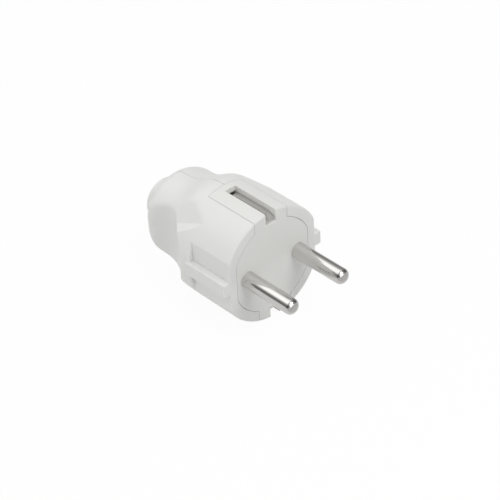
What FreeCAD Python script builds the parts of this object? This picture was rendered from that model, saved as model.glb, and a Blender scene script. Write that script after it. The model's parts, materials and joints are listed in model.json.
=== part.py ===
"""A rewirable type F mains plug, in millimetres.

The origin is the centre of the engagement face. The pins point along -Y, the cord leaves
along +Y, and Z points at one of the two earth contacts. The housing splits on the plane x = 0.
"""
import FreeCAD, Part
import math
import os
import re
import Sketcher

SIZES = {
    # Pins, as the plug standard gives them
    "pin_diameter": 4.8,
    "pin_spacing": 19.0,
    "pin_length": 19.0,
    "pin_tip_round": 1.6,
    "pin_seat_diameter": 4.2,
    "pin_shoulder": 0.3,
    "pin_block_width": 6.4,
    "pin_block_start": 12.2,
    "pin_block_length": 8.8,
    "wire_hole": 3.4,
    "wire_hole_depth": 7.6,
    # Barrel, shoulder and neck of the housing
    "body_diameter": 36.0,
    "rim_round": 0.7,
    "shoulder_start": 20.5,
    "shoulder_bend": 11.0,
    "neck_start": 36.5,
    "neck_diameter": 27.0,
    "neck_end_round": 4.5,
    "body_length": 42.0,
    "wall": 2.2,
    # Groove where the two halves meet
    "groove_width": 0.12,
    "groove_depth": 0.25,
    # Guide pockets and ribs on both sides of the barrel
    "pocket_depth": 2.0,
    "flat_distance": "=body_diameter / 2 - pocket_depth",
    "pocket_length": 15.5,
    "pocket_round": 0.7,
    "rib_rise": 0.3,
    "rib_reach": "=body_diameter / 2 + rib_rise",
    "rib_height": 4.0,
    "rib_length": 16.2,
    # Creases in the shoulder behind each guide pad: a wall above the line, a shelf below it
    "crease_angle": 46.8,
    "crease_out": "=body_diameter / 2 * cos(crease_angle)",
    "crease_back": 14.4,
    "crease_up": "=body_diameter / 2 * sin(crease_angle)",
    "crease_turn": 5.4,
    "crease_drop": 22.0,
    "crease_wall": 50.0,
    "crease_shelf": 206.5,
    "crease_round": 5.0,
    # Thumb scoops: an outer sweep that leans with height, and a flat-floored panel inside it
    "scoop_radius": 10.0,
    "scoop_centre_beyond": 6.7,
    "scoop_centre_out": "=neck_diameter / 2 + scoop_centre_beyond",
    "scoop_centre_back": 32.6,
    "scoop_lead_angle": 51.5,
    "scoop_lean": 5.0,
    "scoop_lean_height": 8.5,
    "panel_radius": 10.2,
    "panel_centre_beyond": 6.4,
    "panel_centre_out": "=neck_diameter / 2 + panel_centre_beyond",
    "panel_centre_back": 33.0,
    "lead_rim_round": 1.0,
    "hollow_rim_round": 2.2,
    # Contact carrier, the round insert in the face
    "carrier_diameter": 29.2,
    "carrier_flat": 13.4,
    "carrier_depth": 12.0,
    "carrier_wall": 1.6,
    "face_plate": 3.2,
    "tab_width": 12.0,
    "tab_length": 19.0,
    "seam_gap": 0.1,
    "lip_reach": 1.0,
    "lip_start": 8.4,
    "lip_width": 2.6,
    "pin_boss_diameter": 7.8,
    "post_width": 8.0,
    "post_height": 9.2,
    # Earth slots and the strap that lies in them
    "slot_width": 3.8,
    "slot_floor": 14.2,
    "slot_length": 16.6,
    "slot_roof": 16.35,
    "passage_start": 14.5,
    "strap_width": 3.2,
    "strap_thickness": 0.9,
    "strap_face": 16.05,
    "strap_leg": 16.4,
    "strap_bend": 2.0,
    "strap_tip": 0.4,
    "strap_lead_start": 2.9,
    "strap_lead_angle": 18.8,
    "strap_pad": 8.0,
    # Screws and nuts
    "screw_diameter": 3.0,
    "screw_head_diameter": 5.5,
    "screw_head_height": 2.0,
    "screw_slot_width": 0.9,
    "screw_slot_depth": 1.0,
    "screw_clearance": 0.1,
    "nut_width": 5.5,
    "nut_height": 2.4,
    "nut_clearance": 0.1,
    "pin_screw_head_diameter": 4.6,
    "pin_screw_length": 2.6,
    "earth_screw_length": 9.0,
    "saddle_thickness": 1.0,
    "saddle_width": 7.0,
    # Screws that join the two halves
    "housing_screw_back": 27.0,
    "housing_screw_up": 10.8,
    "housing_screw_seat": 4.8,
    "housing_screw_length": 10.0,
    "housing_boss_diameter": 8.8,
    # Cord clamp
    "clamp_back": 34.0,
    "clamp_screw_up": 6.9,
    "clamp_width": 5.0,
    "clamp_end_radius": 2.8,
    "clamp_thickness": 2.0,
    "clamp_seat": 1.2,
    "clamp_tooth": 1.0,
    "clamp_screw_length": 9.0,
    "clamp_post_diameter": 5.4,
    "cradle_rib": 1.4,
    "cord_diameter": 8.0,
    # Bush that the cord leaves through
    "bush_diameter": 14.2,
    "bush_waist": 11.0,
    "bush_bore": 8.4,
    "bush_reach": 6.0,
    "bush_round": 2.0,
    "bush_flange": 2.0,
    "bush_clearance": 0.05,
}

ACROSS = FreeCAD.Vector(1, 0, 0)
UPWARD = FreeCAD.Vector(0, 0, 1)

# Two shapes touch where they are closer than this
TOUCH = 0.001

NAME = re.compile(r"\b(" + "|".join(SIZES) + r")\b")

# The shoulder is two arcs that meet on a slope, so the barrel runs smoothly into the neck
SHOULDER_DROP = "((body_diameter - neck_diameter) / 2)"
SHOULDER_RUN = "(neck_start - shoulder_start)"
SHOULDER_TURN = f"(2 * atan({SHOULDER_DROP} / {SHOULDER_RUN}))"
SHOULDER_RETURN = f"({SHOULDER_RUN} / sin({SHOULDER_TURN}) - shoulder_bend)"

doc = FreeCAD.newDocument("type_f_plug")
sheet = doc.addObject("Spreadsheet::Sheet", "Sizes")
for row, (alias, size) in enumerate(SIZES.items(), start=1):
    sheet.set(f"A{row}", alias)
    sheet.set(f"B{row}", str(size))
    sheet.setAlias(f"B{row}", alias)
doc.recompute()


def bound(formula):
    """Writes a formula of size names in the form that the document's expressions take."""
    return NAME.sub(r"Sizes.\1", formula)


def value(formula):
    """Works a formula of size names out."""
    return float(sheet.evalExpression(bound(formula)))


def bind(item, prop, formula):
    """Ties one property of an object to a formula of size names."""
    item.setExpression(prop, bound(formula))


# Sketches

def body_plane(body, role):
    """Finds an origin plane of a body."""
    return next(plane for plane in body.Origin.OriginFeatures if plane.Role == role)


def new_sketch(body, role, height="0"):
    """Lays a sketch on an origin plane of its body, raised along the plane's own normal."""
    sketch = body.newObject("Sketcher::SketchObject", body.Name + "_sketch")
    sketch.AttachmentSupport = (body_plane(body, role), [""])
    sketch.MapMode = "FlatFace"
    bind(sketch, "AttachmentOffset.Base.z", height)
    return sketch


def bow(start, end, radius, turn):
    """The short arc from start to end that turns left (1) or right (-1)."""
    chord = end - start
    rise = math.sqrt(max(radius ** 2 - chord.Length ** 2 / 4, 0))
    left = FreeCAD.Vector(-chord.y, chord.x, 0) / chord.Length
    centre = (start + end) / 2 + left * rise * turn
    first, last = (start, end) if turn > 0 else (end, start)
    circle = Part.Circle(centre, FreeCAD.Vector(0, 0, 1), radius)
    begin = math.atan2(first.y - centre.y, first.x - centre.x)
    finish = math.atan2(last.y - centre.y, last.x - centre.x)
    if finish < begin:
        finish += 2 * math.pi
    return Part.ArcOfCircle(circle, begin, finish)


def tie(sketch, kind, piece, point, formula):
    """Fixes one coordinate of a point of the sketch."""
    index = sketch.addConstraint(Sketcher.Constraint(kind, -1, 1, piece, point, value(formula)))
    bind(sketch, f"Constraints[{index}]", formula)


def draw(sketch, corners):
    """Draws a closed outline. A corner is (across, up), and one that starts an arc to the next
    corner adds the arc's radius and its turn, 1 to the left or -1 to the right."""
    points = [FreeCAD.Vector(value(corner[0]), value(corner[1]), 0) for corner in corners]
    first = sketch.GeometryCount
    ends = []
    for index, corner in enumerate(corners):
        start = points[index]
        end = points[(index + 1) % len(points)]
        if len(corner) == 2:
            sketch.addGeometry(Part.LineSegment(start, end), False)
            ends.append((1, 2))
            continue
        radius, turn = corner[2:]
        arc = sketch.addGeometry(bow(start, end, value(radius), turn), False)
        ends.append((1, 2) if turn > 0 else (2, 1))
        limit = sketch.addConstraint(Sketcher.Constraint("Radius", arc, value(radius)))
        bind(sketch, f"Constraints[{limit}]", radius)
    for index, corner in enumerate(corners):
        following = (index + 1) % len(corners)
        sketch.addConstraint(Sketcher.Constraint(
            "Coincident", first + index, ends[index][1], first + following, ends[following][0]))
        tie(sketch, "DistanceX", first + index, ends[index][0], corner[0])
        tie(sketch, "DistanceY", first + index, ends[index][0], corner[1])


def draw_box(sketch, left, right, low, high):
    """Draws a rectangle."""
    draw(sketch, [(left, low), (right, low), (right, high), (left, high)])


def draw_circle(sketch, across, up, diameter):
    """Draws a circle."""
    centre = FreeCAD.Vector(value(across), value(up), 0)
    radius = f"({diameter}) / 2"
    circle = Part.Circle(centre, FreeCAD.Vector(0, 0, 1), value(radius))
    index = sketch.addGeometry(circle, False)
    tie(sketch, "DistanceX", index, 3, across)
    tie(sketch, "DistanceY", index, 3, up)
    limit = sketch.addConstraint(Sketcher.Constraint("Radius", index, value(radius)))
    bind(sketch, f"Constraints[{limit}]", radius)


# Features

def new_body(name):
    """A sub-part or a tool that is built from sketches."""
    body = doc.addObject("PartDesign::Body", name)
    body.Label = name
    return body


def pad(body, sketch, length, backwards=False, both=False):
    """Raises a sketch into material."""
    feature = body.newObject("PartDesign::Pad", body.Name + "_pad")
    feature.Profile = sketch
    feature.Reversed = backwards
    if both:
        feature.SideType = "Symmetric"
    bind(feature, "Length", length)
    doc.recompute()
    return feature


def pocket(body, sketch, length, backwards=False, both=False):
    """Cuts a sketch out of the material, and makes sure that it did cut."""
    before = body.Shape.Volume
    feature = body.newObject("PartDesign::Pocket", body.Name + "_pocket")
    feature.Profile = sketch
    feature.Reversed = backwards
    if both:
        feature.SideType = "Symmetric"
    bind(feature, "Length", length)
    doc.recompute()
    if body.Shape.Volume > before - 1e-6:
        raise RuntimeError(f"{feature.Name} cuts nothing")
    return feature


def turned(body, corners):
    """Turns an outline, drawn as (distance from the axis, place along it), about the Y axis."""
    sketch = new_sketch(body, "XY_Plane")
    draw(sketch, corners)
    feature = body.newObject("PartDesign::Revolution", body.Name + "_turned")
    feature.Profile = sketch
    feature.ReferenceAxis = (sketch, ["V_Axis"])
    doc.recompute()
    return feature


def combined(kind, name, *pieces):
    """Joins, intersects or cuts shapes. A cut takes the second shape from the first."""
    feature = doc.addObject("Part::" + kind, name)
    feature.Label = name
    if kind == "Cut":
        feature.Base, feature.Tool = pieces
    else:
        feature.Shapes = list(pieces)
    doc.recompute()
    return feature


def block(name, x, y, z, length, width, height):
    """A plain box from its low corner."""
    box = doc.addObject("Part::Box", name)
    for prop, formula in zip(("Length", "Width", "Height"), (length, width, height)):
        bind(box, prop, formula)
    for axis, formula in zip("xyz", (x, y, z)):
        bind(box, "Placement.Base." + axis, formula)
    return box


def mirrored(name, source, normal):
    """The mirror image of a shape in an origin plane."""
    image = doc.addObject("Part::Mirroring", name)
    image.Source = source
    image.Normal = normal
    return image


def rod(name, diameter, length, x, y, z, axis):
    """A plain cylinder that starts at a point and runs along +X or +Y."""
    cylinder = doc.addObject("Part::Cylinder", name)
    turns = {"X": FreeCAD.Rotation(FreeCAD.Vector(0, 1, 0), 90),
             "Y": FreeCAD.Rotation(FreeCAD.Vector(1, 0, 0), -90)}
    cylinder.Placement = FreeCAD.Placement(FreeCAD.Vector(), turns[axis])
    bind(cylinder, "Radius", f"({diameter}) / 2")
    bind(cylinder, "Height", length)
    for letter, formula in zip("xyz", (x, y, z)):
        bind(cylinder, "Placement.Base." + letter, formula)
    return cylinder


# Rounded edges

def lies_on(pieces, spot):
    """Tells whether a point lies on any of some faces or edges."""
    return Part.Compound(pieces).distToShape(Part.Vertex(spot))[0] < TOUCH


def rounded(name, source, choices):
    """Rounds edges. A choice is a size name for the radius and a test of an edge's middle."""
    feature = doc.addObject("Part::Fillet", name)
    feature.Base = source
    edges = []
    for radius, test in choices:
        found = 0
        for number, edge in enumerate(source.Shape.Edges, start=1):
            middle = edge.valueAt((edge.FirstParameter + edge.LastParameter) / 2)
            if test(middle):
                edges.append((number, value(radius), value(radius)))
                found += 1
        if not found:
            raise RuntimeError(f"{name} finds no edge for {radius}")
    feature.Edges = edges
    doc.recompute()
    return feature


# Outer form of the closed housing

def front_profile():
    """The engagement face and its rounded rim, from the axis to the barrel."""
    return [
        ("0", "0"),
        ("body_diameter / 2 - rim_round", "0", "rim_round", 1),
        ("body_diameter / 2", "rim_round"),
    ]


def rear_profile(inset):
    """Shoulder, neck and rounded rear end of the housing, or a line that lies inset in them."""
    slope_out = f"body_diameter / 2 - shoulder_bend + (shoulder_bend - {inset}) * cos({SHOULDER_TURN})"
    slope_back = f"shoulder_start + (shoulder_bend - {inset}) * sin({SHOULDER_TURN})"
    return [
        (f"body_diameter / 2 - {inset}", "shoulder_start", f"shoulder_bend - {inset}", 1),
        (slope_out, slope_back, f"{SHOULDER_RETURN} + {inset}", -1),
        (f"neck_diameter / 2 - {inset}", "neck_start"),
        (f"neck_diameter / 2 - {inset}", "body_length - neck_end_round", f"neck_end_round - {inset}", 1),
        ("neck_diameter / 2 - neck_end_round", f"body_length - {inset}"),
        ("0", f"body_length - {inset}"),
    ]


def housing_form():
    """The closed housing as one solid, with its guide pockets and ribs."""
    body = new_body("housing_form")
    turned(body, [*front_profile(), *rear_profile("0")])
    recess = new_sketch(body, "XZ_Plane")
    draw_box(recess, "-body_diameter", "-flat_distance", "-body_diameter / 2", "body_diameter / 2")
    draw_box(recess, "flat_distance", "body_diameter", "-body_diameter / 2", "body_diameter / 2")
    pocket(body, recess, "pocket_length")
    ribs = new_sketch(body, "XZ_Plane")
    draw_box(ribs, "-rib_reach", "-flat_distance + wall / 2", "-rib_height / 2", "rib_height / 2")
    draw_box(ribs, "flat_distance - wall / 2", "rib_reach", "-rib_height / 2", "rib_height / 2")
    pad(body, ribs, "rib_length", backwards=True)
    return body


def crease_cut():
    """What the left creases take off the shoulder. A crease is the valley between a steep wall
    and the shallow shelf below it. It runs back and down from the barrel's surface into the
    scoop, and the lower crease is its mirror image."""
    body = new_body("crease_top")
    section = new_sketch(body, "XZ_Plane")
    section.AttachmentOffset.Rotation = FreeCAD.Rotation(-ACROSS, value("crease_drop"))
    bind(section, "AttachmentOffset.Rotation.Angle", "crease_drop")
    corners = [("0", "0")]
    for angle in ("crease_wall", "(crease_wall + crease_shelf) / 2", "crease_shelf"):
        corners.append((f"body_diameter / 2 * cos({angle})", f"body_diameter / 2 * sin({angle})"))
    draw(section, corners)
    pad(body, section, "body_length", both=True)
    body.Placement.Rotation = FreeCAD.Rotation(UPWARD, value("crease_turn"))
    bind(body, "Placement.Rotation.Angle", "crease_turn")
    for letter, formula in zip("xyz", ("-crease_out", "crease_back", "crease_up")):
        bind(body, "Placement.Base." + letter, formula)
    doc.recompute()
    return combined("MultiFuse", "creases", body, mirrored("crease_bottom", body, UPWARD))


def on_wall(spot):
    """Tells whether a point lies on the wall plane of a left crease, away from the crease."""
    turn = FreeCAD.Rotation(UPWARD, value("crease_turn"))
    drop = FreeCAD.Rotation(-ACROSS, value("crease_drop"))
    apex = FreeCAD.Vector(-value("crease_out"), value("crease_back"), value("crease_up"))
    folded = FreeCAD.Vector(spot.x, spot.y, abs(spot.z))
    across = turn.multiply(drop).inverted().multVec(folded - apex)
    rise = math.radians(value("crease_wall"))
    off_plane = across.z * math.cos(rise) - across.x * math.sin(rise)
    along = across.x * math.cos(rise) + across.z * math.sin(rise)
    return abs(off_plane) < TOUCH and along > TOUCH


def scoop_plan(body, radius, centre_out, centre_back):
    """The scoop seen from above: a straight lead-in that runs into a round hollow."""
    touch_out = f"-{centre_out} + ({radius}) * sin(scoop_lead_angle)"
    touch_back = f"{centre_back} - ({radius}) * cos(scoop_lead_angle)"
    lead = "(body_diameter / 2)"
    sketch = new_sketch(body, "XY_Plane")
    draw(sketch, [
        (f"{touch_out} - {lead} * cos(scoop_lead_angle)", f"{touch_back} - {lead} * sin(scoop_lead_angle)"),
        (touch_out, touch_back, radius, 1),
        (f"-{centre_out}", f"{centre_back} + {radius}"),
        ("-body_diameter", f"{centre_back} + {radius}"),
        ("-body_diameter", f"{touch_back} - {lead} * sin(scoop_lead_angle)"),
    ])
    return sketch


def leaning_sweep(name, side):
    """The outer sweep of the scoop. It leans, so the hollow deepens towards mid height."""
    body = new_body(name)
    plan = scoop_plan(body, "scoop_radius", "scoop_centre_out", "scoop_centre_back")
    pad(body, plan, "2 * body_diameter", both=True)
    body.Placement.Rotation = FreeCAD.Rotation(FreeCAD.Vector(0, -side, 0), value("scoop_lean"))
    bind(body, "Placement.Rotation.Angle", "scoop_lean")
    bind(body, "Placement.Base.x", "scoop_lean_height * sin(scoop_lean)")
    return body


def scoop():
    """The left thumb scoop. Its floor follows whichever of its surfaces is the shallower."""
    panel = new_body("scoop_panel")
    plan = scoop_plan(panel, "panel_radius", "panel_centre_out", "panel_centre_back")
    pad(panel, plan, "2 * body_diameter", both=True)
    upper = leaning_sweep("scoop_upper", 1)
    lower = leaning_sweep("scoop_lower", -1)
    return combined("MultiCommon", "scoop", panel, upper, lower)


def left_form():
    """The left half of the closed housing as a solid, with its moulded edges rounded."""
    form = housing_form()
    creased = combined("Cut", "creased_form", form, crease_cut())
    hollowed = scoop()
    scooped = combined("Cut", "scooped_form", creased, hollowed)
    side = block("left_side", "-body_diameter", "-body_length", "-body_diameter",
                 "body_diameter", "3 * body_length", "2 * body_diameter")
    sharp = combined("MultiCommon", "sharp_form", scooped, side)
    softened = rounded("softened_form", sharp, [
        ("crease_round", lambda spot: on_wall(spot) and lies_on(form.Shape.Faces, spot)),
    ])
    lead_end = value("scoop_centre_back - scoop_radius * cos(scoop_lead_angle)")
    barrel = value("body_diameter / 2")

    def on_rim(spot):
        return lies_on(hollowed.Shape.Faces, spot) and not lies_on(hollowed.Shape.Edges, spot)

    def on_pocket(spot):
        out = math.hypot(spot.x, spot.z)
        return abs(out - barrel) < TOUCH and abs(spot.y - value("pocket_length")) < TOUCH

    return rounded("left_form", softened, [
        ("lead_rim_round", lambda spot: spot.y < lead_end and on_rim(spot)),
        ("hollow_rim_round", lambda spot: spot.y > lead_end and on_rim(spot)),
        ("pocket_round", on_pocket),
    ])


def housing_hollow():
    """The hollow behind the carrier, a wall inside the outer form."""
    body = new_body("housing_hollow")
    turned(body, [
        ("0", "carrier_depth"),
        ("body_diameter / 2 - wall", "carrier_depth"),
        *rear_profile("wall"),
    ])
    flats = new_sketch(body, "XZ_Plane")
    draw_box(flats, "-body_diameter", "-flat_distance + wall", "-body_diameter", "body_diameter")
    draw_box(flats, "flat_distance - wall", "body_diameter", "-body_diameter", "body_diameter")
    pocket(body, flats, "pocket_length + wall")
    for name in ("left", "right"):
        tool = scoop_plan(body, "(panel_radius + wall)", "panel_centre_out", "panel_centre_back")
        if name == "right":
            tool.AttachmentOffset.Rotation = FreeCAD.Rotation(FreeCAD.Vector(0, 1, 0), 180)
        pocket(body, tool, "2 * body_diameter", both=True)
    return body


def seam_groove():
    """The fine groove round the closed housing where the edges of its halves meet."""
    core = new_body("groove_core")
    turned(core, [
        ("0", "0"),
        ("body_diameter / 2 - groove_depth", "0"),
        *rear_profile("groove_depth"),
    ])
    slab = block("groove_slab", "-groove_width / 2", "0", "-body_diameter", "groove_width",
                 "2 * body_length", "2 * body_diameter")
    return combined("Cut", "seam_groove", slab, core)


# Contact carrier and the room that the housing leaves for it

def half_chord(radius, across):
    """How high a circle stands at a place across it."""
    return f"sqrt(({radius}) ^ 2 - ({across}) ^ 2)"


def round_outline(grow):
    """The carrier's round face with its two side flats."""
    radius = f"carrier_diameter / 2 + {grow}"
    flat = f"carrier_flat + {grow}"
    corner = half_chord(radius, flat)
    return [
        (flat, f"-{corner}"),
        (flat, corner, radius, 1),
        (f"-({flat})", corner),
        (f"-({flat})", f"-{corner}", radius, 1),
    ]


def tab_outline(grow, reach, side):
    """One tab, from inside the round face out to the barrel's surface."""
    half = f"(tab_width / 2 + {grow})"
    base = f"carrier_diameter / 2 - 2 * carrier_wall - {grow}"
    tip = half_chord(reach, half)
    if side > 0:
        return [(f"-{half}", base), (half, base), (half, tip, reach, 1), (f"-{half}", tip)]
    return [(half, f"-({base})"), (f"-{half}", f"-({base})"), (f"-{half}", f"-{tip}", reach, 1),
            (half, f"-{tip}")]


def carrier_envelope(name, grow, reach):
    """The carrier's outside, or grown by a clearance, the room that it needs."""
    body = new_body(name)
    face = new_sketch(body, "XZ_Plane")
    draw(face, round_outline(grow))
    pad(body, face, f"carrier_depth + 2 * {grow}", backwards=True)
    tabs = new_sketch(body, "XZ_Plane")
    for side in (1, -1):
        draw(tabs, tab_outline(grow, reach, side))
    pad(body, tabs, f"tab_length + {grow}", backwards=True)
    lip = new_sketch(body, "XZ_Plane", f"-(lip_start - {grow})")
    draw(lip, round_outline(f"(lip_reach + {grow})"))
    pad(body, lip, f"lip_width + 2 * {grow}", backwards=True)
    return body


def contact_carrier():
    """The face insert: it carries the pins, the earth strap and the earth terminal. Its tabs
    are rounded at the front like the rim that they interrupt."""
    body = carrier_envelope("carrier_body", "0", "body_diameter / 2")
    hollow = new_sketch(body, "XZ_Plane", "-face_plate")
    draw(hollow, round_outline("-carrier_wall"))
    pocket(body, hollow, "tab_length")
    bosses = new_sketch(body, "XZ_Plane")
    draw_circle(bosses, "-pin_spacing / 2", "0", "pin_boss_diameter")
    draw_circle(bosses, "pin_spacing / 2", "0", "pin_boss_diameter")
    pad(body, bosses, "pin_block_start", backwards=True)
    post = new_sketch(body, "XZ_Plane")
    draw_box(post, "-post_width / 2", "post_width / 2", "-post_height / 2", "post_height / 2")
    pad(body, post, "strap_leg", backwards=True)
    slots = new_sketch(body, "XZ_Plane")
    draw_box(slots, "-slot_width / 2", "slot_width / 2", "slot_floor", "body_diameter")
    draw_box(slots, "-slot_width / 2", "slot_width / 2", "-body_diameter", "-slot_floor")
    pocket(body, slots, "slot_length")
    passages = new_sketch(body, "XZ_Plane", "-passage_start")
    low = "carrier_diameter / 2 - 2.5 * carrier_wall"
    draw_box(passages, "-slot_width / 2", "slot_width / 2", low, "slot_roof")
    draw_box(passages, "-slot_width / 2", "slot_width / 2", "-slot_roof", f"-({low})")
    pocket(body, passages, "tab_length")
    nut_width = "(nut_width + 2 * nut_clearance) / 2"
    nut_room = new_sketch(body, "XZ_Plane", "-(strap_leg - nut_height - nut_clearance)")
    draw_box(nut_room, f"-{nut_width}", nut_width, f"-{nut_width}", nut_width)
    pocket(body, nut_room, "nut_height + 2 * nut_clearance")
    shank = new_sketch(body, "XZ_Plane", "-(strap_leg + strap_thickness - earth_screw_length)")
    draw_circle(shank, "0", "0", "screw_diameter + 2 * screw_clearance")
    pocket(body, shank, "earth_screw_length")
    rim = new_body("carrier_rim")
    turned(rim, [*front_profile(), ("body_diameter / 2", "body_length"), ("0", "body_length")])
    whole = combined("MultiCommon", "whole_carrier", body, rim)
    seats = []
    for where, sign in (("left", "-"), ("right", "")):
        hole = new_body(f"pin_seat_{where}")
        turned(hole, [("0", "0"), *seat_profile("tab_length"), ("0", "tab_length")])
        bind(hole, "Placement.Base.x", f"{sign}pin_spacing / 2")
        seats.append(hole)
    return combined("Cut", "contact_carrier", whole, combined("MultiFuse", "pin_seats", *seats))


# Metal parts

def seat_profile(end):
    """A pin's seat in the carrier: a sloping shoulder just behind the face, then a thinner shank."""
    return [
        ("pin_diameter / 2", "0"),
        ("pin_seat_diameter / 2", "pin_shoulder"),
        ("pin_seat_diameter / 2", end),
    ]


def pin(name, across):
    """A turned pin: a rounded tip, its seat in the carrier, and behind that a square block for
    the wire."""
    body = new_body(name)
    turned(body, [
        ("0", "-pin_length"),
        ("pin_diameter / 2 - pin_tip_round", "-pin_length", "pin_tip_round", 1),
        ("pin_diameter / 2", "-pin_length + pin_tip_round"),
        *seat_profile("pin_block_start"),
        ("0", "pin_block_start"),
    ])
    square = new_sketch(body, "XZ_Plane", "-pin_block_start")
    half = "pin_block_width / 2"
    draw_box(square, f"-{half}", half, f"-{half}", half)
    pad(body, square, "pin_block_length", backwards=True)
    wire = new_sketch(body, "XZ_Plane", "-(pin_block_start + pin_block_length - wire_hole_depth)")
    draw_circle(wire, "0", "0", "wire_hole")
    pocket(body, wire, "wire_hole_depth")
    thread = new_sketch(body, "XY_Plane")
    draw_circle(thread, "0", PIN_SCREW_BACK, "screw_diameter")
    pocket(body, thread, "pin_block_width", backwards=True)
    bind(body, "Placement.Base.x", across)
    return body


def earth_strap():
    """One bent strip: an arm in each earth slot, and a leg with a terminal pad across the back."""
    body = new_body("earth_strap")
    drop = "(strap_lead_start - strap_tip) * tan(strap_lead_angle)"
    inner_tip = "strap_tip + strap_thickness * sin(strap_lead_angle)"
    inner_tip_up = f"strap_face - {drop} - strap_thickness * cos(strap_lead_angle)"
    inner_lead = "strap_lead_start + strap_thickness * tan(strap_lead_angle / 2)"
    back = "strap_leg + strap_thickness"
    bend = f"{back} - strap_bend"
    inner_face = "strap_face - strap_thickness"
    bend_up = "strap_face - strap_bend"
    inner_bend = "strap_bend - strap_thickness"
    outline = new_sketch(body, "YZ_Plane")
    draw(outline, [
        ("strap_tip", f"strap_face - {drop}"),
        ("strap_lead_start", "strap_face"),
        (bend, "strap_face", "strap_bend", -1),
        (back, bend_up),
        (back, f"-({bend_up})", "strap_bend", -1),
        (bend, "-strap_face"),
        ("strap_lead_start", "-strap_face"),
        ("strap_tip", f"-(strap_face - {drop})"),
        (inner_tip, f"-({inner_tip_up})"),
        (inner_lead, f"-({inner_face})"),
        (bend, f"-({inner_face})", inner_bend, 1),
        ("strap_leg", f"-({bend_up})"),
        ("strap_leg", bend_up, inner_bend, 1),
        (bend, inner_face),
        (inner_lead, inner_face),
        (inner_tip, inner_tip_up),
    ])
    pad(body, outline, "strap_width", both=True)
    terminal = new_sketch(body, "XZ_Plane", "-strap_leg")
    draw_box(terminal, "-strap_pad / 2", "strap_pad / 2", "-strap_pad / 2", "strap_pad / 2")
    pad(body, terminal, "strap_thickness", backwards=True)
    hole = new_sketch(body, "XZ_Plane")
    draw_circle(hole, "0", "0", "screw_diameter + 2 * screw_clearance")
    pocket(body, hole, "body_length")
    return body


def square_plate(name, width, thickness):
    """A square nut or saddle with its hole, its near face on the XZ plane."""
    body = new_body(name)
    square = new_sketch(body, "XZ_Plane")
    draw_box(square, f"-{width} / 2", f"{width} / 2", f"-{width} / 2", f"{width} / 2")
    pad(body, square, thickness, backwards=True)
    hole = new_sketch(body, "XZ_Plane")
    draw_circle(hole, "0", "0", "screw_diameter")
    pocket(body, hole, thickness)
    return body


TO_X = FreeCAD.Rotation(FreeCAD.Vector(0, 0, 1), -90)
TO_Z = FreeCAD.Rotation(FreeCAD.Vector(1, 0, 0), 90)
TO_Y = FreeCAD.Rotation()


def seat(body, rotation, x, y, z):
    """Turns a piece and puts its origin at a point."""
    body.Placement = FreeCAD.Placement(FreeCAD.Vector(), rotation)
    for letter, formula in zip("xyz", (x, y, z)):
        bind(body, "Placement.Base." + letter, formula)
    return body


def screw(name, length, head_diameter="screw_head_diameter"):
    """A slotted cheese-head screw along Y, with the underside of its head at the origin."""
    body = new_body(name)
    turned(body, [
        ("0", f"-({length})"),
        ("screw_diameter / 2", f"-({length})"),
        ("screw_diameter / 2", "0"),
        (f"{head_diameter} / 2", "0"),
        (f"{head_diameter} / 2", "screw_head_height"),
        ("0", "screw_head_height"),
    ])
    slot = new_sketch(body, "XY_Plane")
    draw_box(slot, "-screw_slot_width / 2", "screw_slot_width / 2",
             "screw_head_height - screw_slot_depth", "2 * screw_head_height")
    pocket(body, slot, f"2 * {head_diameter}", both=True)
    return body


# Cord clamp and bush

def cord_clamp():
    """The bar that presses the cord into its cradle, with two teeth across its middle."""
    body = new_body("cord_clamp")
    near = "(clamp_back - clamp_width / 2)"
    far = "(clamp_back + clamp_width / 2)"
    bar = new_sketch(body, "YZ_Plane", "clamp_seat")
    draw(bar, [
        (far, "-clamp_screw_up"),
        (far, "clamp_screw_up", "clamp_end_radius", 1),
        (near, "clamp_screw_up"),
        (near, "-clamp_screw_up", "clamp_end_radius", 1),
    ])
    pad(body, bar, "clamp_thickness")
    teeth = new_sketch(body, "YZ_Plane", "clamp_seat")
    half = "cord_diameter / 2"
    draw_box(teeth, near, f"{near} + clamp_tooth", f"-{half}", half)
    draw_box(teeth, f"{far} - clamp_tooth", far, f"-{half}", half)
    pad(body, teeth, "clamp_tooth", backwards=True)
    holes = new_sketch(body, "YZ_Plane")
    for side in ("", "-"):
        draw_circle(holes, "clamp_back", f"{side}clamp_screw_up", "screw_diameter + 2 * screw_clearance")
    pocket(body, holes, "body_diameter", both=True)
    return body


def cable_bush():
    """The bush that lines the cord's way out, held by a waist in the rear wall."""
    body = new_body("cable_bush")
    outside = "body_length + bush_clearance"
    inside = "body_length - wall - bush_clearance"
    turned(body, [
        ("bush_bore / 2", f"{inside} - bush_flange"),
        ("bush_diameter / 2", f"{inside} - bush_flange"),
        ("bush_diameter / 2", inside),
        ("bush_waist / 2", inside),
        ("bush_waist / 2", outside),
        ("bush_diameter / 2", outside),
        ("bush_diameter / 2", "body_length + bush_reach - bush_round", "bush_round", 1),
        ("bush_diameter / 2 - bush_round", "body_length + bush_reach"),
        ("bush_bore / 2", "body_length + bush_reach"),
    ])
    return body


# The two halves of the housing

def cradle():
    """Two ribs across the left half that the cord lies in."""
    ribs = []
    for index, edge in enumerate(("clamp_width / 2 - cradle_rib", "-clamp_width / 2")):
        plate = block(f"cradle_plate_{index}", "-neck_diameter / 2", f"clamp_back + {edge}",
                      "-cord_diameter / 2 - wall", "neck_diameter / 2 - wall / 2", "cradle_rib",
                      "cord_diameter + 2 * wall")
        ribs.append(plate)
    trough = rod("cradle_trough", "cord_diameter", "body_length", "0", "0", "0", "Y")
    return combined("Cut", "cradle_ribs", combined("MultiFuse", "cradle_plates", *ribs), trough)


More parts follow.
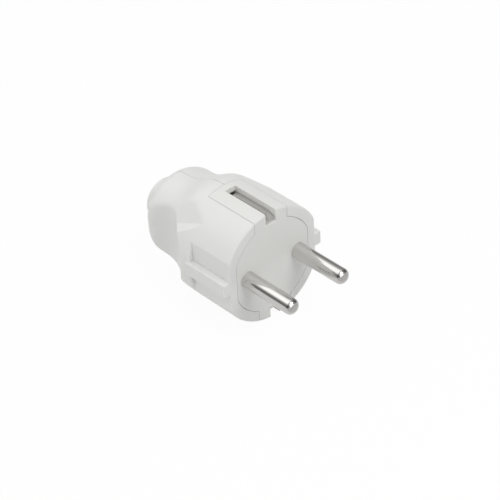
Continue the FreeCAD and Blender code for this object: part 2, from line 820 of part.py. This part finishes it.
def pin_stop(name, side):
    """A ledge behind one pin's block, so the pin can't be pushed into the housing."""
    reach = "(pin_spacing / 2 + pin_block_width / 2 - wall / 2)"
    corner = f"-{reach} - body_diameter / 2" if side < 0 else reach
    return block(name, corner, "pin_block_start + pin_block_length + seam_gap", "-pin_block_width / 2",
                 "body_diameter / 2", "wall / 2", "pin_block_width")


def housing_half(name, solid, form, hollow, room, fittings, holes):
    """One half shell: half of the outer form, hollowed, with its fittings put in."""
    walls = combined("Cut", name + "_walls", solid, hollow)
    inner = combined("MultiCommon", name + "_fittings",
                     combined("MultiFuse", name + "_posts", *fittings), form)
    joined = combined("MultiFuse", name + "_joined", walls, inner)
    return combined("Cut", name, joined, combined("MultiFuse", name + "_holes", room, *holes))


def housing():
    """Both halves, which share the outer form, the hollow and the room for the carrier."""
    left_solid = left_form()
    right_solid = mirrored("right_form", left_solid, ACROSS)
    form = combined("MultiFuse", "outer_form", left_solid, right_solid)
    hollow = housing_hollow()
    groove = seam_groove()
    room = carrier_envelope("carrier_room", "seam_gap", "body_diameter")
    waist = rod("bush_hole", "bush_waist + 2 * bush_clearance", "2 * wall", "0",
                "body_length - 1.5 * wall", "0", "Y")
    shank = "screw_diameter + 2 * screw_clearance"
    head = "screw_head_diameter + 4 * screw_clearance"
    nut = "(nut_width + 2 * nut_clearance)"
    left_fittings = [cradle(), pin_stop("pin_stop_left", -1)]
    right_fittings = [pin_stop("pin_stop_right", 1)]
    left_holes = [waist, groove]
    right_holes = [waist, groove]
    for where, sign in (("top", ""), ("bottom", "-")):
        spot = ("housing_screw_back", f"{sign}housing_screw_up")
        left_fittings.append(rod(f"nut_boss_{where}", "housing_boss_diameter", "body_diameter / 2",
                                 "-body_diameter / 2", *spot, "X"))
        right_fittings.append(rod(f"head_boss_{where}", "housing_boss_diameter", "body_diameter / 2",
                                  "0", *spot, "X"))
        left_fittings.append(rod(f"clamp_post_{where}", "clamp_post_diameter",
                                 "neck_diameter / 2 + clamp_seat", "-neck_diameter / 2",
                                 "clamp_back", f"{sign}clamp_screw_up", "X"))
        depth = "(housing_screw_length - housing_screw_seat + screw_clearance)"
        left_holes.append(rod(f"left_shank_{where}", shank, depth, f"-{depth}", *spot, "X"))
        left_holes.append(block(f"nut_room_{where}", "-nut_height - 2 * nut_clearance",
                                f"{spot[0]} - {nut} / 2", f"{spot[1]} - {nut} / 2",
                                "nut_height + 2 * nut_clearance", nut, nut))
        right_holes.append(rod(f"right_shank_{where}", shank, "body_diameter / 2", "0", *spot, "X"))
        right_holes.append(rod(f"head_room_{where}", head, "body_diameter / 2",
                               "housing_screw_seat", *spot, "X"))
        clamp_depth = "(clamp_screw_length - clamp_thickness + screw_clearance)"
        left_holes.append(rod(f"clamp_thread_{where}", shank, clamp_depth,
                              f"clamp_seat - {clamp_depth}", "clamp_back",
                              f"{sign}clamp_screw_up", "X"))
    left = housing_half("housing_left", left_solid, form, hollow, room, left_fittings, left_holes)
    right = housing_half("housing_right", right_solid, form, hollow, room, right_fittings, right_holes)
    return [left, right]


PIN_SCREW_BACK = "(pin_block_start + pin_block_length - wire_hole_depth / 2)"
BLOCK_TOP = "pin_block_width / 2"
STRAP_BACK = "strap_leg + strap_thickness"

nodes = housing()
nodes.append(contact_carrier())
nodes.append(earth_strap())
for where, sign in (("left", "-"), ("right", "")):
    across = f"{sign}pin_spacing / 2"
    nodes.append(pin(f"pin_{where}", across))
    wire_screw = screw(f"pin_screw_{where}", "pin_screw_length", "pin_screw_head_diameter")
    nodes.append(seat(wire_screw, TO_Z, across, PIN_SCREW_BACK, BLOCK_TOP))
earth_nut = square_plate("earth_nut", "nut_width", "nut_height")
nodes.append(seat(earth_nut, TO_Y, "0", "strap_leg - nut_height", "0"))
earth_saddle = square_plate("earth_saddle", "saddle_width", "saddle_thickness")
nodes.append(seat(earth_saddle, TO_Y, "0", STRAP_BACK, "0"))
earth_screw = screw("earth_screw", "earth_screw_length")
nodes.append(seat(earth_screw, TO_Y, "0", f"{STRAP_BACK} + saddle_thickness", "0"))
nodes.append(cord_clamp())
nodes.append(cable_bush())
for where, sign in (("top", ""), ("bottom", "-")):
    height = f"{sign}housing_screw_up"
    joint_screw = screw(f"housing_screw_{where}", "housing_screw_length")
    nodes.append(seat(joint_screw, TO_X, "housing_screw_seat", "housing_screw_back", height))
    joint_nut = square_plate(f"housing_nut_{where}", "nut_width", "nut_height")
    nodes.append(seat(joint_nut, TO_X, "-nut_height - nut_clearance", "housing_screw_back", height))
    bar_screw = screw(f"cord_clamp_screw_{where}", "clamp_screw_length")
    nodes.append(seat(bar_screw, TO_X, "clamp_seat + clamp_thickness", "clamp_back",
                      f"{sign}clamp_screw_up"))

doc.recompute()
for item in doc.Objects:
    if {"Invalid", "Error"} & set(item.State):
        raise RuntimeError(f"{item.Label} did not build: {item.State}")
for node in nodes:
    if node.Shape.isNull() or not node.Shape.isValid() or not node.Shape.Solids:
        raise RuntimeError(f"{node.Label} has no valid solid")

os.makedirs("parts", exist_ok=True)
for node in nodes:
    node.Shape.exportStep(f"parts/{node.Label}.step")
    print(f"{node.Label}: {len(node.Shape.Solids)} solid, {node.Shape.Volume:.1f} cubic mm")
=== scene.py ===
# %% [markdown]
# # A white rewirable mains plug
# The plug was built in CAD, at real size. Here it gets its looks: a camera,
# soft studio light, and a material for each finish. Each piece sits in metres in the plug's own
# frame: the pins point along -Y, and Z points up at one of the two earth contacts. The CAD shapes
# are the real ones, so no piece is added or replaced.

# %% Load the plug
import json
import math
import bpy
from mathutils import Matrix, Vector


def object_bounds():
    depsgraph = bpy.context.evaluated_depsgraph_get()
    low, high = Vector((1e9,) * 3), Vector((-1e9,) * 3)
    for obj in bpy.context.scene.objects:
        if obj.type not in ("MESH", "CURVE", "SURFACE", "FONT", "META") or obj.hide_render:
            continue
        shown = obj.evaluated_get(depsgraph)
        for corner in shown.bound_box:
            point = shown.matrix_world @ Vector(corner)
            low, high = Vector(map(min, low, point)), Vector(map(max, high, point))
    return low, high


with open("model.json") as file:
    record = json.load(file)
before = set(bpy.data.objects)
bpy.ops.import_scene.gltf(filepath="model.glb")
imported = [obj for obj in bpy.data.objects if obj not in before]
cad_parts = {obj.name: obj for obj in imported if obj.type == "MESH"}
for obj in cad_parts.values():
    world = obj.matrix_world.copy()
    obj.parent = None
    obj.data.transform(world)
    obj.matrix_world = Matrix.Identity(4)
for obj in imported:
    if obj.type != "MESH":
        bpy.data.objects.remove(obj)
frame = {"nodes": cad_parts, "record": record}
nodes = frame["nodes"]
cad_box = [list(corner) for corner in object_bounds()]
print("pieces:", len(nodes), "box:", cad_box)

# %% [markdown]
# ## The camera
# The photograph was taken from above and to the left of the pins. Its camera could be placed by
# eye, but four known sizes of the plug pin it down: the pins' length, thickness and spacing, and
# the barrel. So it is set by its angles round the middle of the plug's face, its distance and a
# small tilt. A long lens keeps the far end of the plug nearly as large as the near end.

# %% Place the camera
AZIMUTH = math.radians(-40.09)
ELEVATION = math.radians(36.26)
ROLL = math.radians(-3.42)
DISTANCE = 0.5390
SHIFT_RIGHT = -0.00645
SHIFT_UP = 0.00401
LENS = 138.9
NEAREST_SEEN = 0.01
UP = Vector((0, 0, 1))

back = Vector((
    math.sin(AZIMUTH) * math.cos(ELEVATION),
    -math.cos(AZIMUTH) * math.cos(ELEVATION),
    math.sin(ELEVATION),
))
level = (-back).cross(UP).normalized()
upright = level.cross(-back)
right = math.cos(ROLL) * level + math.sin(ROLL) * upright
top = math.cos(ROLL) * upright - math.sin(ROLL) * level
place = back * DISTANCE + right * SHIFT_RIGHT + top * SHIFT_UP

camera = bpy.data.objects.new("camera", bpy.data.cameras.new("camera"))
bpy.context.scene.collection.objects.link(camera)
camera.data.lens = LENS
camera.data.clip_start = NEAREST_SEEN
camera.matrix_world = Matrix.Translation(place) @ Matrix((right, top, back)).transposed().to_4x4()
bpy.context.scene.camera = camera
bpy.context.scene.view_settings.view_transform = "Standard"
print("camera at", [round(number, 4) for number in place])

# %% [markdown]
# ## Building with nodes
# The light and the materials are trees of shader nodes. They could be drawn by hand in the shader
# editor. In a script the same two moves come back all the time, adding a node and joining two
# sockets, so each gets a short name.

# %% Name the two moves
def link(tree, source, target):
    """Joins an output socket to an input socket."""
    tree.links.new(source, target)


def add(tree, kind, **settings):
    """Adds a shader node and sets its own properties."""
    made = tree.nodes.new("ShaderNode" + kind)
    for name, setting in settings.items():
        setattr(made, name, setting)
    return made


print("helpers: link joins two sockets, add makes a node")

# %% [markdown]
# ## Studio light
# A white plug on white needs light from all round, or its shaded sides turn grey and heavy. It
# could be built from many lamps, but a world that glows evenly is softer and simpler. In the
# photograph the top and the left side of the plug are lighter than the face that the pins stand
# on. So the dome leans: it is brightest up, back and to the left, and dimmest in front and below.
# The level is the one at which a colour on top of the plug renders as it is written.

# %% Light the dome
# How bright the dome is on average, and how much it gains towards +X, +Y and +Z
DOME_MIDDLE = 0.587
DOME_LEAN = (-0.174, 0.306, 0.248)
PURE_WHITE = (1, 1, 1, 1)

world = bpy.data.worlds.new("studio")
bpy.context.scene.world = world
world.use_nodes = True
sky = world.node_tree
sky.nodes.clear()
direction = add(sky, "TexCoord").outputs["Generated"]
lean = add(sky, "VectorMath", operation="DOT_PRODUCT")
lean.inputs[1].default_value = DOME_LEAN
link(sky, direction, lean.inputs[0])
strength = add(sky, "Math", operation="ADD")
strength.inputs[1].default_value = DOME_MIDDLE
link(sky, lean.outputs["Value"], strength.inputs[0])
dome = add(sky, "Background")
dome.inputs["Color"].default_value = PURE_WHITE
link(sky, strength.outputs[0], dome.inputs["Strength"])
print("dome: middle", DOME_MIDDLE, "lean", DOME_LEAN)

# %% [markdown]
# ## What the metal reflects
# Polished metal is different from plastic: it shows what stands round it. In the photograph each
# pin has a white band between two dark lines. The band is a soft box overhead, and the lines are
# the dark gaps beside it. Real panels could stand round the plug, but they would light the
# plastic too. So the world that shiny surfaces see is painted with a ramp of its own, laid round
# the direction of the pins. Two ramps along the pins add a dark gap and a small front light, which
# only their rounded tips show.

# %% Lay the ramps that the metal reflects
BOX_STRENGTH = 1.4
# The angle round the pins in degrees, with 0 to the right and 90 straight up, and how bright
# the studio is there next to the soft box
AROUND = [
    (-180, 0.20), (-163, 0.46), (-30, 0.50), (-5, 0.36), (14, 0.18), (38, 0.18), (60, 0.36),
    (72, 0.60), (86, 1.0), (122, 1.0), (135, 0.54), (147, 0.15), (172, 0.12), (180, 0.20),
]
# How far the direction points back along the pins, from -1 at their tips' side to 1, and how
# much of the studio light is left there: one dark gap crosses the soft box
BACKWARDS = [(-1, 1.0), (-0.60, 1.0), (-0.50, 0.40), (-0.15, 0.40), (0.15, 1.0), (1, 1.0)]
# A small front light, straight ahead of the tips, on the same scale
FRONT_LIGHT = [(-1, 0.75), (-0.90, 0.75), (-0.82, 0.0), (1, 0.0)]


def studio_ramp(tree, source, low, high, stops):
    """Turns a number between two limits into the light that its stops give."""
    scaled = add(tree, "MapRange")
    scaled.inputs["From Min"].default_value = low
    scaled.inputs["From Max"].default_value = high
    link(tree, source, scaled.inputs["Value"])
    ramp = add(tree, "ValToRGB")
    marks = ramp.color_ramp.elements
    for index, (spot, light) in enumerate(stops):
        where_on_ramp = (spot - stops[0][0]) / (stops[-1][0] - stops[0][0])
        mark = marks[index] if index < 2 else marks.new(where_on_ramp)
        mark.position = where_on_ramp
        mark.color = (light, light, light, 1)
    link(tree, scaled.outputs["Result"], ramp.inputs["Fac"])
    print("studio ramp with", len(marks), "stops")
    return ramp.outputs["Color"]


split = add(sky, "SeparateXYZ")
link(sky, direction, split.inputs[0])
round_pins = add(sky, "Math", operation="ARCTAN2")
link(sky, split.outputs["Z"], round_pins.inputs[0])
link(sky, split.outputs["X"], round_pins.inputs[1])
studio = studio_ramp(sky, round_pins.outputs[0], -math.pi, math.pi, AROUND)
for blend, stops in (("MULTIPLY", BACKWARDS), ("ADD", FRONT_LIGHT)):
    mix = add(sky, "Mix", data_type="RGBA", blend_type=blend)
    mix.inputs["Factor"].default_value = 1
    link(sky, studio, mix.inputs["A"])
    link(sky, studio_ramp(sky, split.outputs["Y"], -1, 1, stops), mix.inputs["B"])
    studio = mix.outputs["Result"]
mirrored = add(sky, "Background")
mirrored.inputs["Strength"].default_value = BOX_STRENGTH
link(sky, studio, mirrored.inputs["Color"])

# %% [markdown]
# ## One world for each kind of ray
# The dome lights the plastic, the ramps are for the metal, and the camera should see plain white,
# as in the photograph. More light would whiten the background too, but the plug would burn out.
# The Light Path node tells the kinds of ray apart, so each gets its own picture of the world.

# %% Choose what each kind of ray sees
plain = add(sky, "Background")
plain.inputs["Color"].default_value = PURE_WHITE
ray = add(sky, "LightPath")
shiny = add(sky, "MixShader")
link(sky, ray.outputs["Is Glossy Ray"], shiny.inputs[0])
link(sky, dome.outputs[0], shiny.inputs[1])
link(sky, mirrored.outputs[0], shiny.inputs[2])
choice = add(sky, "MixShader")
link(sky, ray.outputs["Is Camera Ray"], choice.inputs[0])
link(sky, shiny.outputs[0], choice.inputs[1])
link(sky, plain.outputs[0], choice.inputs[2])
link(sky, choice.outputs[0], add(sky, "OutputWorld").inputs["Surface"])
print("world nodes:", len(sky.nodes))

# %% [markdown]
# ## The lamp
# The dome alone casts no clear shadow. In the photograph each pin lays a soft one on the face,
# just below its root. A spot would make it hard, so one large area lamp hangs in front of the
# face, high above it and a little to the right.

# %% Hang the soft lamp
LAMP_PLACE = Vector((0.03, -0.39, 0.49))
LAMP_SIZE = 0.35
LAMP_POWER = 1.33

lamp = bpy.data.objects.new("soft_lamp", bpy.data.lights.new("soft_lamp", "AREA"))
bpy.context.scene.collection.objects.link(lamp)
lamp.data.size = LAMP_SIZE
lamp.data.energy = LAMP_POWER
lamp.location = LAMP_PLACE
lamp.rotation_euler = (-LAMP_PLACE).to_track_quat("-Z", "Y").to_euler()
print("lamp:", LAMP_POWER, "W at", round(LAMP_PLACE.length, 3), "m from the face")

# %% [markdown]
# ## The floor
# The floor is white to the camera, and keeps a faint shadow of the plug. It could simply be white
# paint, but that would never be as white as the background of the photograph, so most of it is a
# glow that only the camera sees. For the pins it is a painted reflection, a glow that only glossy
# rays see: light grey, and painted darker in front of their tips. To the light that bounces it is
# a plain grey, or it would fill in the shaded underside. Its glow isn't sampled as a lamp, so it
# lights nothing.

# %% Lay the floor
FLOOR_SIZE = 4.0
FLOOR_GAP = 0.0001
FLOOR_GLOW = 0.95
PAINT_GREY = 0.9
# Painted reflection: the grey glow that glossy rays see on the floor, and a darker one in front of
# the tips
PAINTED_MIRROR_GREY = 0.76
PAINTED_FRONT_GREY = 0.54
FRONT_START = -0.022
FRONT_END = -0.040
BOUNCE_GREY = 0.75

bpy.ops.mesh.primitive_plane_add(size=FLOOR_SIZE, location=(0, 0, cad_box[0][2] - FLOOR_GAP))
floor = bpy.context.active_object
floor.name = "floor"
floor_paint = bpy.data.materials.new("floor_paint")
floor_paint.use_nodes = True
floor_paint.cycles.emission_sampling = "NONE"
floor.data.materials.append(floor_paint)
paint = floor_paint.node_tree
paint.nodes.clear()
print("floor at height", round(floor.location.z, 4))

# %% Paint the floor for the camera, the metal and the bounced light
def matt(grey):
    """A matt grey paint for the floor."""
    made = add(paint, "BsdfDiffuse")
    made.inputs["Color"].default_value = (grey, grey, grey, 1)
    return made.outputs[0]


def either(share, first, second):
    """Mixes two shaders of the floor by a share, which is a number or a socket."""
    made = add(paint, "MixShader")
    if isinstance(share, float):
        made.inputs[0].default_value = share
    else:
        link(paint, share, made.inputs[0])
    link(paint, first, made.inputs[1])
    link(paint, second, made.inputs[2])
    return made.outputs[0]


floor_ray = add(paint, "LightPath")
seen = either(FLOOR_GLOW, matt(PAINT_GREY), add(paint, "Emission").outputs[0])
spot = add(paint, "SeparateXYZ")
link(paint, add(paint, "TexCoord").outputs["Object"], spot.inputs[0])
fade = add(paint, "MapRange")
fade.inputs["From Min"].default_value = FRONT_END
fade.inputs["From Max"].default_value = FRONT_START
fade.inputs["To Min"].default_value = PAINTED_FRONT_GREY
fade.inputs["To Max"].default_value = PAINTED_MIRROR_GREY
link(paint, spot.outputs["Y"], fade.inputs["Value"])
# Painted reflection: a glow for glossy rays only, painted darker in front of the tips
painted_reflection = add(paint, "Emission")
link(paint, fade.outputs["Result"], painted_reflection.inputs["Strength"])
seen = either(floor_ray.outputs["Is Glossy Ray"], seen, painted_reflection.outputs[0])
seen = either(floor_ray.outputs["Is Diffuse Ray"], seen, matt(BOUNCE_GREY))
link(paint, seen, add(paint, "OutputMaterial").inputs["Surface"])
print("floor nodes:", len(paint.nodes))

# %% [markdown]
# ## White moulded plastic
# The housing, the carrier, the bush and the cord clamp are moulded from white plastic. One flat
# colour would look like paper. A real moulding has a satin skin that is a little uneven, with a
# grain too fine to see as dots. A node group makes that unevenness once, from noise on the
# object's own coordinates, and each plastic takes it at its own strength.

# %% Make the group for moulded plastic
CLOUD_SCALE = 90.0
GRAIN_SCALE = 5200.0
GRAIN_DETAIL = 2.0
DARKEST_TONE = 0.985


def new_group(name, inputs, outputs):
    """Starts a shader node group with number inputs and the outputs that are named."""
    group = bpy.data.node_groups.new(name, "ShaderNodeTree")
    for label, number in inputs.items():
        socket = group.interface.new_socket(label, in_out="INPUT", socket_type="NodeSocketFloat")
        socket.default_value = number
    for label in outputs:
        group.interface.new_socket(label, in_out="OUTPUT", socket_type="NodeSocketFloat")
    return group, group.nodes.new("NodeGroupInput"), group.nodes.new("NodeGroupOutput")


def noise(tree, coordinates, scale, detail=3.0):
    """A noise texture on the object's own coordinates."""
    made = add(tree, "TexNoise")
    made.inputs["Scale"].default_value = scale
    made.inputs["Detail"].default_value = detail
    link(tree, coordinates, made.inputs["Vector"])
    return made.outputs["Fac"]


def spread(tree, source, low, high):
    """Stretches a 0 to 1 pattern between two limits, which are numbers or sockets."""
    made = add(tree, "MapRange")
    link(tree, source, made.inputs["Value"])
    for socket, limit in (("To Min", low), ("To Max", high)):
        if isinstance(limit, float):
            made.inputs[socket].default_value = limit
        else:
            link(tree, limit, made.inputs[socket])
    return made.outputs["Result"]


moulded, moulded_in, moulded_out = new_group(
    "moulded_face", {"Roughness": 0.4, "Unevenness": 0.06}, ["Tone", "Roughness", "Height"])
where = add(moulded, "TexCoord").outputs["Object"]
clouds = noise(moulded, where, CLOUD_SCALE)
grain = noise(moulded, where, GRAIN_SCALE, GRAIN_DETAIL)
rougher = add(moulded, "Math", operation="ADD")
link(moulded, moulded_in.outputs["Roughness"], rougher.inputs[0])
link(moulded, moulded_in.outputs["Unevenness"], rougher.inputs[1])
uneven = spread(moulded, clouds, moulded_in.outputs["Roughness"], rougher.outputs[0])
link(moulded, spread(moulded, clouds, DARKEST_TONE, 1.0), moulded_out.inputs["Tone"])
link(moulded, uneven, moulded_out.inputs["Roughness"])
link(moulded, grain, moulded_out.inputs["Height"])
print("group", moulded.name, "puts out", [end.name for end in moulded_out.inputs if end.name])

# %% [markdown]
# White plastic is also milky: light goes in, spreads by a fraction of a millimetre and comes out
# again, so the fine parting lines never turn black. Its moulded edges are softened too. The CAD
# solids keep their sharp small edges, and the Bevel node rounds only how these catch the light.

# %% Mix the plastics
BUMP_STRENGTH = 0.3
BUMP_DEPTH = 0.00002
EDGE_ROUND = 0.00018
EDGE_SAMPLES = 6
MILKINESS = 0.6
MILK_DEPTH = 0.0004
MILK_SPREAD = (1.0, 1.0, 1.0)


def shader(name):
    """A new material with its Principled shader."""
    material = bpy.data.materials.new(name)
    material.use_nodes = True
    tree = material.node_tree
    return material, tree, tree.nodes["Principled BSDF"]


def plastic(name, colour, roughness):
    """White moulded plastic: an even satin face with a very fine grain."""
    material, tree, surface = shader(name)
    face = add(tree, "Group")
    face.node_tree = moulded
    face.inputs["Roughness"].default_value = roughness
    tint = add(tree, "Mix", data_type="RGBA", blend_type="MULTIPLY")
    tint.inputs["Factor"].default_value = 1
    tint.inputs["A"].default_value = (*colour, 1)
    link(tree, face.outputs["Tone"], tint.inputs["B"])
    link(tree, tint.outputs["Result"], surface.inputs["Base Color"])
    link(tree, face.outputs["Roughness"], surface.inputs["Roughness"])
    surface.inputs["Subsurface Weight"].default_value = MILKINESS
    surface.inputs["Subsurface Scale"].default_value = MILK_DEPTH
    surface.inputs["Subsurface Radius"].default_value = MILK_SPREAD
    soft_edge = add(tree, "Bevel")
    soft_edge.samples = EDGE_SAMPLES
    soft_edge.inputs["Radius"].default_value = EDGE_ROUND
    bump = add(tree, "Bump")
    bump.inputs["Strength"].default_value = BUMP_STRENGTH
    bump.inputs["Distance"].default_value = BUMP_DEPTH
    link(tree, face.outputs["Height"], bump.inputs["Height"])
    link(tree, soft_edge.outputs["Normal"], bump.inputs["Normal"])
    link(tree, bump.outputs["Normal"], surface.inputs["Normal"])
    return material


WHITE = (0.80, 0.80, 0.785)
CARRIER_WHITE = (0.79, 0.79, 0.77)
HOUSING_SATIN = 0.38
CARRIER_SATIN = 0.42
BUSH_SATIN = 0.45
housing_plastic = plastic("housing_plastic", WHITE, HOUSING_SATIN)
carrier_plastic = plastic("carrier_plastic", CARRIER_WHITE, CARRIER_SATIN)
bush_plastic = plastic("bush_plastic", WHITE, BUSH_SATIN)
print("plastics:", housing_plastic.name, carrier_plastic.name, bush_plastic.name)

# %% [markdown]
# ## Plated metal
# The pins and the earth strap are brass under nickel, polished on the pins and duller on the
# strap. The screws and nuts are zinc-plated steel. A perfect mirror would look like chrome, so a
# noise varies the gloss. It is stretched along the pins, like the marks that drawing and
# polishing leave there.

# %% Plate the metals
MARK_SCALE = 900.0
MARK_CONTRAST = 0.04
MARK_STRENGTH = 0.05
MARK_DEPTH = 0.00001


def metal(name, colour, roughness, stretch):
    """Plated metal with fine marks, which a stretch can draw out along one axis."""
    material, tree, surface = shader(name)
    surface.inputs["Metallic"].default_value = 1
    surface.inputs["Base Color"].default_value = (*colour, 1)
    mapping = add(tree, "Mapping")
    mapping.inputs["Scale"].default_value = stretch
    link(tree, add(tree, "TexCoord").outputs["Object"], mapping.inputs["Vector"])
    marks = noise(tree, mapping.outputs["Vector"], MARK_SCALE)
    gloss = spread(tree, marks, roughness - MARK_CONTRAST, roughness + MARK_CONTRAST)
    link(tree, gloss, surface.inputs["Roughness"])
    bump = add(tree, "Bump")
    bump.inputs["Strength"].default_value = MARK_STRENGTH
    bump.inputs["Distance"].default_value = MARK_DEPTH
    link(tree, marks, bump.inputs["Height"])
    link(tree, bump.outputs["Normal"], surface.inputs["Normal"])
    return material


ALONG_PIN = (1, 0.06, 1)
EVEN = (1, 1, 1)
NICKEL = (0.70, 0.69, 0.67)
STEEL = (0.55, 0.55, 0.56)
PIN_POLISH = 0.12
STRAP_POLISH = 0.24
SCREW_POLISH = 0.35
pin_nickel = metal("pin_nickel", NICKEL, PIN_POLISH, ALONG_PIN)
strap_nickel = metal("strap_nickel", NICKEL, STRAP_POLISH, ALONG_PIN)
screw_steel = metal("screw_steel", STEEL, SCREW_POLISH, EVEN)
print("metals:", pin_nickel.name, strap_nickel.name, screw_steel.name)

# %% [markdown]
# ## Who wears what
# Each piece could be given its material by name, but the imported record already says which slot
# each piece belongs to. So a short table turns the slots into materials, and a new piece in a
# known slot needs no line of its own.

# %% Give each CAD piece its finish
FINISHES = {
    "housing_plastic": housing_plastic,
    "carrier_plastic": carrier_plastic,
    "bush_plastic": bush_plastic,
    "clamp_plastic": carrier_plastic,
    "nickel_plated_pin": pin_nickel,
    "earth_metal": strap_nickel,
    "fastener_steel": screw_steel,
}
for part in frame["record"]["subparts"]:
    piece = nodes[part["node"]]
    piece.data.materials.clear()
    piece.data.materials.append(FINISHES[part["material_slot"]])
